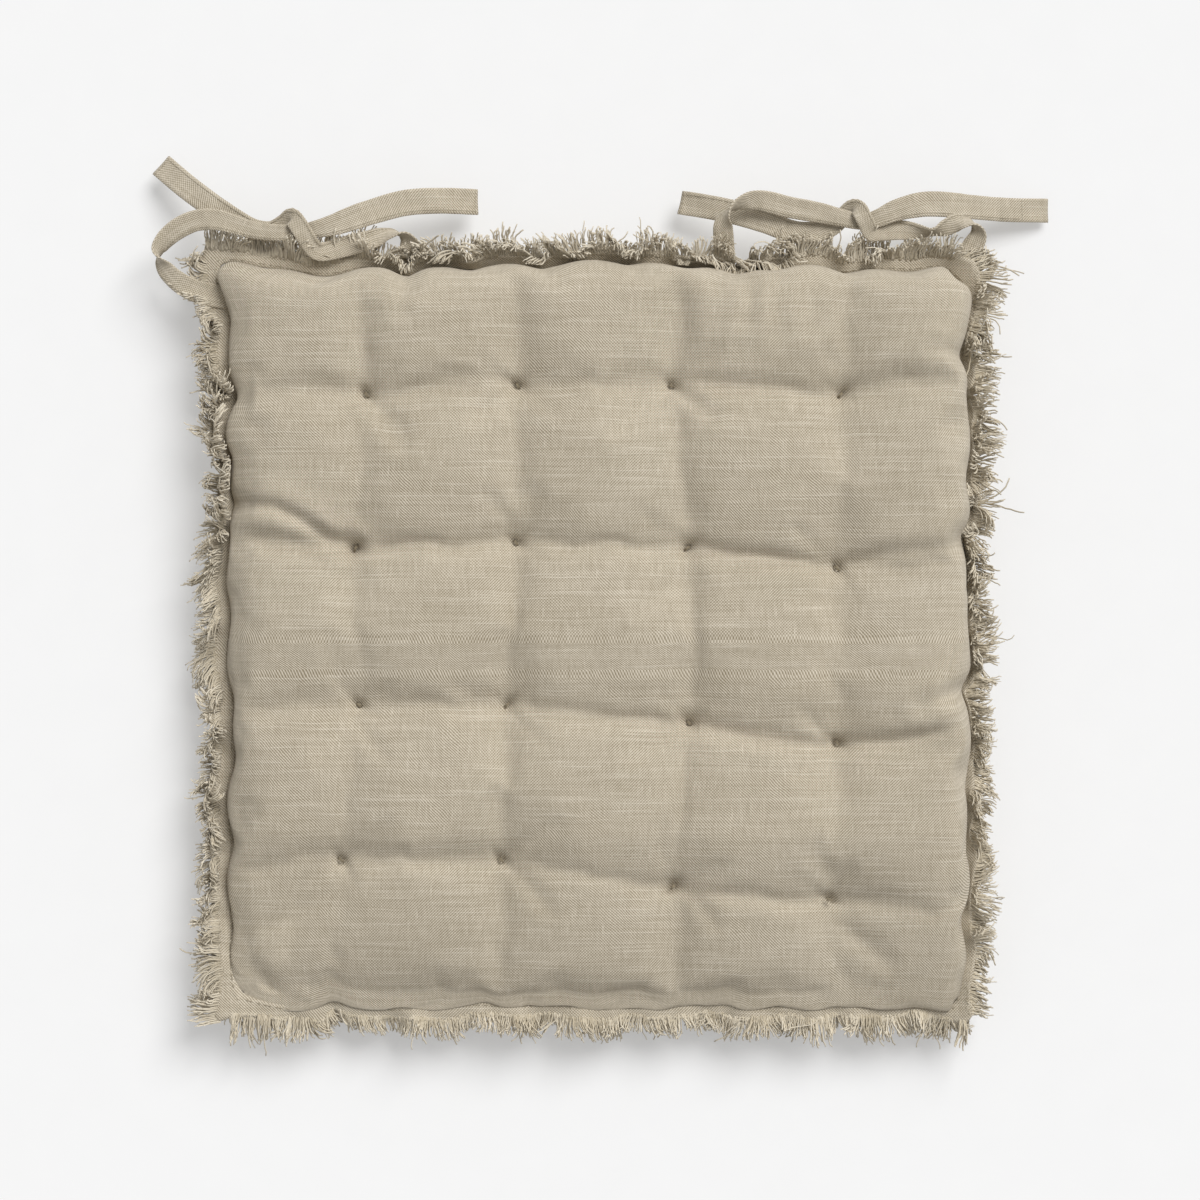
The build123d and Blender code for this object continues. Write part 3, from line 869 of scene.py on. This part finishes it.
# ---------------------------------------------------------------- tie straps
# Each strap's middle line from the seam to its free end: x, y, z, width in mm and roll in
# degrees, 0 where it lies flat. A strap turns over where its roll passes 90.
STRAPS = {
    "left_side": [
        (-206, 190, 26.6, 13, 0), (-216, 191.5, 27.6, 13, 0), (-226, 194, 29, 12.5, 0),
        (-235, 199, 30, 11.5, 8), (-241.5, 205, 30.6, 10.5, 20), (-245.5, 211.5, 31.4, 10, 75),
        (-245, 217.5, 32.4, 10, 140), (-240.5, 223.5, 33.2, 11, 170), (-233, 229, 34, 12, 180),
        (-224, 232.6, 34.8, 12, 180), (-214, 233, 35.4, 12, 183), (-205, 230.8, 35.8, 11, 186),
        (-195, 227.8, 35.8, 10, 182), (-185, 226.2, 35.4, 9.5, 180), (-176, 225.7, 35, 9, 180),
        (-167, 226.3, 34.8, 8.5, 180), (-158.5, 227.5, 35, 9.5, 182), (-148, 230, 35.6, 12, 184),
        (-138, 233.5, 35.2, 13.5, 180), (-128, 237, 34, 14, 180), (-109, 242.6, 30.5, 14.5, 178),
        (-90, 244.6, 25, 14.5, 180), (-68.2, 244.8, 15, 14.5, 180)],
    "left_back": [
        (-105, 206, 26.6, 13, 0), (-105, 213, 28.4, 13, 0), (-105.5, 219.5, 30.6, 12, 15),
        (-109, 224.5, 32, 10, 70), (-116.5, 225.5, 32.2, 10, 130), (-126, 222.5, 32, 11, 170),
        (-137, 219.5, 32, 11.5, 180), (-148, 216.5, 32.4, 11, 180), (-156, 215, 34.6, 10, 180),
        (-160.5, 219, 37.4, 10, 180), (-164.5, 225.5, 39.2, 10.5, 180),
        (-168.5, 231.6, 38.2, 10.5, 180), (-171.5, 234.6, 35, 10, 180),
        (-175.5, 231.5, 31.6, 10, 180), (-183, 227.5, 30.6, 10.5, 180),
        (-192, 228, 30.4, 11.5, 180), (-201, 232, 30.4, 12.5, 180),
        (-215.8, 241.4, 27.6, 13.5, 178), (-230.9, 252.7, 20.5, 14, 180),
        (-246.5, 266, 11, 14, 180)],
    "right_back": [
        (70, 206, 26.6, 12, 0), (70, 214, 28.6, 12, 0), (69.5, 223, 31, 11.5, 0),
        (69.3, 230, 33.4, 11, 15), (71.5, 236.5, 35.4, 9.5, 70), (78, 241.5, 36.4, 9.5, 130),
        (87, 243.7, 36.4, 11, 165), (96, 242.4, 36, 12, 176), (106, 239.8, 35.6, 12, 180),
        (121.9, 237, 35.2, 11.5, 180), (134, 234.3, 34.9, 10, 180), (147, 231.8, 34.8, 9, 180),
        (156, 234, 35, 10, 180), (165.5, 238.2, 35, 12, 180), (180, 241.6, 33.6, 14, 182),
        (195, 242, 29, 14, 180), (209.6, 241.2, 22.5, 13.5, 180), (230, 240.6, 13.5, 13.5, 180),
        (253.2, 240.9, 5.5, 13.5, 180)],
    "right_side": [
        (198, 202, 26.6, 12, 0), (203, 210, 28.6, 12, 0), (208.5, 218.5, 30.6, 12, 0),
        (211.5, 225.5, 32, 10, 30), (208.5, 231.2, 33.4, 9.5, 100), (200.5, 232, 33.4, 10.5, 160),
        (193, 228.5, 32.6, 9.5, 205), (186, 226.3, 32, 8.5, 245), (178.5, 226.8, 31.4, 9, 215),
        (168, 227.6, 31, 11, 182), (157, 226.4, 32.6, 10, 180), (151.6, 225.2, 35.4, 9, 180),
        (149.6, 229, 38, 9.5, 180), (147, 234, 39, 9.5, 180), (144.4, 238.8, 37.2, 9.5, 180),
        (141, 240, 33.4, 9, 180), (136, 235, 30.8, 10, 180), (128, 228.6, 30.6, 11, 180),
        (116, 226.2, 31, 12, 180), (106, 227.4, 30.6, 12.5, 180), (92.8, 232.5, 29.2, 13, 180),
        (74.9, 238.4, 24, 13.5, 180), (60, 242, 18.5, 13.5, 180), (45.8, 244.8, 12.5, 13.5, 180)],
}
# How far each end's hem is from its tip, in mm
HEMS = {"left_side": 2.6, "left_back": 3.0, "right_back": 17.0, "right_side": 3.0}
STRAP_STEP = 1.6 * MM
STRAP_HALF_THICKNESS = 0.62 * MM
# Places across a strap, and its thickness there: the folded edges are fullest
STRAP_ACROSS = np.array([-1, -0.93, -0.8, -0.6, -0.3, 0, 0.3, 0.6, 0.8, 0.93, 1])
STRAP_PROFILE = np.array([0.25, 0.9, 1.25, 1.0, 0.95, 0.9, 0.95, 1.0, 1.25, 0.9, 0.25])


def smooth_line(control, step):
    """A smooth curve through control rows, at even spacing along its first 3 columns."""
    padded_rows = np.vstack([2 * control[0] - control[1], control, 2 * control[-1] - control[-2]])
    t = np.linspace(0, 1, 24, endpoint=False)[:, None]
    parts = []
    for a, b, c, d in zip(padded_rows[:-3], padded_rows[1:-2], padded_rows[2:-1], padded_rows[3:]):
        parts.append(0.5 * (2 * b + (c - a) * t + (2 * a - 5 * b + 4 * c - d) * t ** 2
                            + (3 * b - a - 3 * c + d) * t ** 3))
    line = np.vstack(parts + [control[-1:]])
    reach = np.concatenate([[0], np.cumsum(np.linalg.norm(np.diff(line[:, :3], axis=0), axis=1))])
    count = int(reach[-1] / step) + 1
    at = np.linspace(0, reach[-1], count)
    return np.stack([np.interp(at, reach, line[:, k]) for k in range(line.shape[1])], -1), at


class Strap:
    """A flat folded strap along one route, with its length, frame and mesh."""

    def __init__(self, name):
        self.name = name
        control = np.array(STRAPS[name], float)
        control[:, :4] *= MM
        line, self.at = smooth_line(control, STRAP_STEP)
        self.centre, self.half = line[:, :3], line[:, 3] / 2
        ahead = np.gradient(self.centre, axis=0)
        ahead /= np.linalg.norm(ahead, axis=1, keepdims=True)
        level = np.cross(ahead, [0, 0, 1.0])
        for n in range(len(level)):
            size = np.linalg.norm(level[n])
            if n and size < 0.25:
                level[n] = level[n - 1]
            elif n and level[n] @ level[n - 1] < 0:
                level[n] = -level[n] / size
            else:
                level[n] = level[n] / max(size, 1e-9)
        window = np.hanning(9) / np.hanning(9).sum()
        padded_level = np.vstack([level[:1]] * 4 + [level] + [level[-1:]] * 4)
        level = np.stack([np.convolve(padded_level[:, k], window, "valid") for k in range(3)], -1)
        level -= ahead * np.sum(level * ahead, axis=1, keepdims=True)
        level /= np.linalg.norm(level, axis=1, keepdims=True)
        up = np.cross(level, ahead)
        roll = np.radians(line[:, 4])[:, None]
        self.across = level * np.cos(roll) + up * np.sin(roll)
        self.up = np.cross(self.across, ahead)
        self.length = self.at[-1]
        self.ripple = 0.35 * MM * smooth_noise(self.at, 900 + len(name), (0.021, 0.013, 0.009))
        self.cup = 0.5 * MM * smooth_noise(self.at, 910 + len(name), (0.05, 0.034))

    def surface(self, index, w, side):
        """A point of the strap: sample number, -1 to 1 across it, and side 1 or -1."""
        thick = np.interp(w, STRAP_ACROSS, STRAP_PROFILE) * STRAP_HALF_THICKNESS
        lift = side * thick + self.cup[index] * (w ** 2 - 0.4) + self.ripple[index] * w
        return (self.centre[index] + self.across[index] * (self.half[index] * w)[..., None]
                + self.up[index] * lift[..., None])

    def make(self):
        count, ring = len(self.at), 2 * len(STRAP_ACROSS)
        index = np.arange(count)[:, None] * np.ones((1, len(STRAP_ACROSS)), int)
        w = np.broadcast_to(STRAP_ACROSS, index.shape)
        top, under = self.surface(index, w, 1), self.surface(index, w, -1)
        points = np.concatenate([top, under[:, ::-1]], axis=1).reshape(-1, 3)
        i, j = np.arange(count - 1)[:, None], np.arange(ring)[None, :]
        other = (j + 1) % ring
        quads = np.stack([i * ring + j, i * ring + other, (i + 1) * ring + other,
                          (i + 1) * ring + j], -1).reshape(-1, 4)
        k = np.arange(len(STRAP_ACROSS) - 1)
        cap = np.stack([k, ring - 1 - k, ring - 2 - k, k + 1], -1)
        quads = np.concatenate([quads, cap, (cap + (count - 1) * ring)[:, ::-1]])
        strap = make_mesh(f"strap_{self.name}", points, quads)
        across = np.concatenate([w, w[:, ::-1]], axis=1) * 7 * MM
        along = np.broadcast_to(self.at[:, None], across.shape)
        set_attribute(strap, "cloth", np.stack([along, across, 0 * along], -1).reshape(-1, 3))
        return strap

    def make_stitches(self):
        """The topstitching beside one long edge, and the row that holds the end's hem."""
        pitch = 2.6 * MM
        starts, ends, ups = [], [], []
        for side in (1, -1):
            where = np.arange(10 * MM, self.length - HEMS[self.name] * MM, pitch)
            first = np.interp(where, self.at, np.arange(len(self.at))).astype(int)
            last = np.interp(where + 0.8 * pitch, self.at, np.arange(len(self.at)))
            edge = np.full(len(where), -0.72)
            hem = np.full(5, np.searchsorted(self.at, self.length - HEMS[self.name] * MM))
            over = np.linspace(-0.85, 0.62, 5)
            for a, b, w, w_end in ((first, last.round().astype(int), edge, edge),
                                   (hem, hem, over, over + 0.26)):
                starts.append(self.surface(a, w, side))
                ends.append(self.surface(b, w_end, side))
                ups.append(self.up[a] * side)
        paths, radii = short_arcs(np.vstack(starts), np.vstack(ends), np.vstack(ups),
                                  0.22 * MM, 0.2 * MM)
        points, faces = tubes(paths, radii, 4)
        return make_mesh(f"strap_{self.name}_stitches", points, faces)


# ---------------------------------------------------------------- materials
class Nodes:
    """Short calls to build a node material."""

    def __init__(self, name):
        self.material = bpy.data.materials.new(name)
        self.material.use_nodes = True
        self.tree = self.material.node_tree
        self.shader = self.tree.nodes["Principled BSDF"]

    def add(self, kind, **settings):
        node = self.tree.nodes.new(kind)
        for key, value in settings.items():
            setattr(node, key, value)
        return node

    def link(self, source, target):
        self.tree.links.new(source, target)

    def feed(self, target, value):
        if isinstance(value, bpy.types.NodeSocket):
            self.link(value, target)
        else:
            target.default_value = value

    def math(self, operation, a, b=0.0, clamp=False):
        node = self.add("ShaderNodeMath", operation=operation, use_clamp=clamp)
        self.feed(node.inputs[0], a)
        self.feed(node.inputs[1], b)
        return node.outputs[0]

    def times(self, a, b):
        return self.math("MULTIPLY", a, b)

    def plus(self, a, b, clamp=False):
        return self.math("ADD", a, b, clamp)

    def minus(self, a, b):
        return self.math("SUBTRACT", a, b)

    def swing(self, noise, size):
        """A noise as a change about zero."""
        return self.times(self.minus(noise, 0.5), size)

    def attribute(self, name):
        node = self.add("ShaderNodeAttribute", attribute_name=name)
        split = self.add("ShaderNodeSeparateXYZ")
        self.link(node.outputs["Vector"], split.inputs[0])
        return split.outputs

    def vector(self, x, y, z=0.0):
        node = self.add("ShaderNodeCombineXYZ")
        for socket, value in zip(node.inputs, (x, y, z)):
            self.feed(socket, value)
        return node.outputs[0]

    def noise(self, vector, scale, detail=2.0, roughness=0.5):
        node = self.add("ShaderNodeTexNoise")
        node.inputs["Scale"].default_value = scale
        node.inputs["Detail"].default_value = detail
        node.inputs["Roughness"].default_value = roughness
        self.link(vector, node.inputs["Vector"])
        return node.outputs["Fac"]

    def cloth_noise(self, u, v, along, across, offset=0.0, detail=2.0, roughness=0.5):
        """Noise over the flat cloth, at one scale along it and another across it."""
        place = self.vector(self.times(u, along), self.times(v, across), offset)
        return self.noise(place, 1.0, detail, roughness)

    def solid_noise(self, scale, detail=2.0):
        """Noise through the piece's own space."""
        return self.noise(self.add("ShaderNodeTexCoord").outputs["Object"], scale, detail)

    def ramp(self, value, low, high, out_low=0.0, out_high=1.0):
        node = self.add("ShaderNodeMapRange", interpolation_type="SMOOTHSTEP")
        self.feed(node.inputs[0], value)
        for socket, number in zip(list(node.inputs)[1:5], (low, high, out_low, out_high)):
            socket.default_value = number
        return node.outputs[0]

    def mix(self, share, first, second):
        node = self.add("ShaderNodeMix", data_type="RGBA")
        self.feed(node.inputs[0], share)
        self.feed(node.inputs[6], first)
        self.feed(node.inputs[7], second)
        return node.outputs[2]

    def bump(self, height, distance, strength=1.0):
        node = self.add("ShaderNodeBump")
        node.inputs["Strength"].default_value = strength
        node.inputs["Distance"].default_value = distance
        self.link(height, node.inputs["Height"])
        self.link(node.outputs[0], self.shader.inputs["Normal"])

    def finish(self, colour, roughness, sheen, specular=0.25):
        self.feed(self.shader.inputs["Base Color"], colour)
        self.feed(self.shader.inputs["Roughness"], roughness)
        self.shader.inputs["Sheen Weight"].default_value = sheen
        self.shader.inputs["Sheen Roughness"].default_value = 0.6
        self.shader.inputs["Specular IOR Level"].default_value = specular
        return self.material


def rgb(red, green, blue):
    """A colour from its everyday 0 to 255 values, as the shader's linear one."""
    def linear(value):
        value /= 255
        return value / 12.92 if value <= 0.04045 else ((value + 0.055) / 1.055) ** 2.4
    return (linear(red), linear(green), linear(blue), 1.0)


THREAD_PITCH = 0.8 * MM


def linen(name, dark, light, slub):
    """Woven slubby linen. Its threads follow the cloth's own flat coordinates, u and v."""
    nodes = Nodes(name)
    times, plus, minus = nodes.times, nodes.plus, nodes.minus
    u, v, _ = nodes.attribute("cloth")
    drift = nodes.swing(nodes.cloth_noise(u, v, 60.0, 60.0), 2.2 * MM)
    u_bent = plus(u, drift)
    v_bent = plus(v, times(drift, 0.8))
    # Fine diagonals, which lean one way in some regions and the other way in others
    rising = nodes.math("COSINE", times(minus(u_bent, v_bent), math.pi / THREAD_PITCH))
    falling = nodes.math("COSINE", times(plus(u_bent, v_bent), math.pi / THREAD_PITCH))
    share = nodes.ramp(nodes.cloth_noise(u, v, 9.0, 9.0, 3.0), 0.38, 0.58, 0.18, 0.82)
    weave = minus(times(rising, minus(1.0, share)), times(falling, share))
    # Each thread has its own tone, and some stretches of it are thick and pale
    row = nodes.math("FLOOR", times(v_bent, 1 / THREAD_PITCH))
    column = nodes.math("FLOOR", times(u_bent, 1 / THREAD_PITCH))
    weft = nodes.cloth_noise(u, row, 22.0, 7.31, 0.0, 3.0)
    warp = nodes.cloth_noise(column, v, 5.17, 90.0, 4.0, 3.0)
    thick_weft = nodes.ramp(weft, 0.56, 0.76)
    thick_warp = nodes.ramp(warp, 0.64, 0.78)
    mottle = nodes.cloth_noise(u, v, 14.0, 22.0, 9.0, 4.0, 0.6)
    fleck = nodes.cloth_noise(u, v, 900.0, 1500.0)
    tone = plus(times(weave, 0.48), 0.46)
    for noise, size in ((fleck, 0.55), (weft, 0.62), (warp, 0.5)):
        tone = plus(tone, nodes.swing(noise, size))
    tone = plus(tone, nodes.swing(mottle, 0.25), True)
    colour = nodes.mix(tone, dark, light)
    for thick in (thick_weft, thick_warp):
        colour = nodes.mix(times(thick, 0.22), colour, slub)
    height = plus(plus(weave, times(thick_weft, 0.9)), times(fleck, 0.8))
    nodes.bump(height, 0.14 * MM, 0.8)
    return nodes.finish(colour, nodes.ramp(fleck, 0.3, 0.7, 0.86, 0.96), 0.12)


def yarn_material(name, dark, light):
    """Loose yarns: each has its own tone, and is paler towards its frayed tip."""
    nodes = Nodes(name)
    shade, share, _ = nodes.attribute("yarn")
    fibre = nodes.solid_noise(1800.0)
    tone = nodes.plus(nodes.times(shade, 0.6), nodes.times(share, 0.25))
    tone = nodes.plus(tone, nodes.swing(fibre, 0.6), True)
    nodes.bump(fibre, 0.12 * MM, 0.6)
    return nodes.finish(nodes.mix(tone, dark, light), nodes.ramp(fibre, 0.3, 0.7, 0.82, 0.95), 0.15)


def thread_material(name, dark, light):
    """Thread, twine or loose fibre: two tones mixed as finely as its fibres."""
    nodes = Nodes(name)
    fibre = nodes.solid_noise(2500.0)
    nodes.bump(fibre, 0.1 * MM, 0.6)
    return nodes.finish(nodes.mix(fibre, dark, light), nodes.ramp(fibre, 0.3, 0.7, 0.7, 0.9), 0.1)


def floor_material():
    nodes = Nodes("floor")
    grain = nodes.solid_noise(40.0, 3.0)
    colour = nodes.mix(grain, (0.585, 0.585, 0.585, 1), (0.605, 0.605, 0.605, 1))
    nodes.shader.inputs["Emission Color"].default_value = (1, 1, 1, 1)
    nodes.shader.inputs["Emission Strength"].default_value = 0.28
    return nodes.finish(colour, 0.9, 0.0, 0.1)


# ---------------------------------------------------------------- stage, light and camera
FLOOR_HALF = 9.0


def make_floor():
    points = np.array([(-1, -1, 0), (1, -1, 0), (1, 1, 0), (-1, 1, 0)]) * FLOOR_HALF
    floor = make_mesh("studio_floor", points, np.array([[0, 1, 2, 3]]), False)
    floor.data.materials.append(floor_material())


# Where the key light comes from: behind and to the right, as the soft shadows say
KEY_FROM = (0.50, 0.72, 1.0)


def make_light():
    world = bpy.data.worlds.new("studio")
    world.use_nodes = True
    background = world.node_tree.nodes["Background"]
    background.inputs["Color"].default_value = (1, 1, 1, 1)
    background.inputs["Strength"].default_value = 0.44
    scene = bpy.context.scene
    scene.world = world
    sun = bpy.data.lights.new("key", "SUN")
    sun.energy = 2.68
    sun.angle = math.radians(35)
    lamp = bpy.data.objects.new("key", sun)
    lamp.rotation_euler = Vector(KEY_FROM).to_track_quat("Z", "Y").to_euler()
    scene.collection.objects.link(lamp)
    scene.view_settings.view_transform = "Standard"
    scene.view_settings.look = "None"


CAMERA_HEIGHT = 2.2
SENSOR_WIDTH = 36
VIEW_WIDTH = 0.671
VIEW_CENTRE_X = 0.0006
VIEW_CENTRE_Y = 0.0212


def make_camera():
    camera = bpy.data.cameras.new("camera")
    camera.sensor_width = SENSOR_WIDTH
    camera.lens = SENSOR_WIDTH * (CAMERA_HEIGHT - SEAM_Z) / VIEW_WIDTH
    holder = bpy.data.objects.new("camera", camera)
    holder.location = (VIEW_CENTRE_X, VIEW_CENTRE_Y, CAMERA_HEIGHT)
    bpy.context.scene.collection.objects.link(holder)
    bpy.context.scene.camera = holder


# ---------------------------------------------------------------- build
make_camera()
make_floor()
make_light()

CLOTH_DARK = rgb(141, 129, 106)
CLOTH_LIGHT = rgb(218, 208, 190)
CLOTH_SLUB = rgb(228, 219, 202)
cover_cloth = linen("linen_cover", CLOTH_DARK, CLOTH_LIGHT, CLOTH_SLUB)
strap_cloth = linen("linen_straps", CLOTH_DARK, CLOTH_LIGHT, CLOTH_SLUB)
yarn_finish = yarn_material("linen_yarn", rgb(176, 164, 140), rgb(241, 232, 214))
stitch_finish = thread_material("sewing_cotton", rgb(140, 129, 108), rgb(186, 176, 156))
# The tufting twine's two tones are darker than the cover cloth: painted shade standing in for the
# shadow in each tuft's slit, over the twine's own colour.
twine_painted_shade_finish = thread_material("tufting_cotton_painted_shade", rgb(104, 93, 72), rgb(168, 156, 132))
fibre_finish = thread_material("hollow_fibre", rgb(225, 224, 220), rgb(245, 244, 241))


def dress(piece, material, slot, *nodes, body="cushion"):
    """Gives a piece its material, its body and the CAD nodes it stands for. The slot argument is
    not used.
    """
    piece.data.materials.clear()
    piece.data.materials.append(material)
    if body:
        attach(piece, body)
    if nodes:
        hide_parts(*nodes)


pad, filling, rim_points = make_pad()
dress(pad, cover_cloth, "cover_cloth", "top_panel", "bottom_panel")
dress(filling, fibre_finish, "filling", "filling")

seam_line = resample(rim_points, 2 * MM)
for layer, thread_node in (("upper", "seam_needle_thread"), ("lower", "seam_bobbin_thread")):
    margin = Margin(*seam_line, layer)
    dress(make_flange(margin), cover_cloth, "cover_cloth")
    dress(make_seam_stitches(margin), stitch_finish, "sewing_thread", thread_node)
    for number, side in enumerate(SIDES):
        fringe = make_fringe(margin, number)
        dress(fringe, yarn_finish, "fringe_yarn", f"fringe_{layer}_{side}")

# Each tuft's twine is dark with painted shade for the shadowed slit where the cloth is drawn in.
for number, tuft in enumerate(TUFTS):
    dress(make_tuft(number, tuft), twine_painted_shade_finish, "tufting_twine", TUFT_NODES[number])

# Each strap and its stitches are baked where they lie and attached to no body.
for name in STRAPS:
    strap = Strap(name)
    piece = strap.make()
    stitches = strap.make_stitches()
    for soft in (piece, stitches):
        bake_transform(soft)
    dress(piece, strap_cloth, "tie_cloth", f"tie_{name}", f"tie_{name}_sewn_end", body=None)
    dress(stitches, stitch_finish, "sewing_thread", body=None)
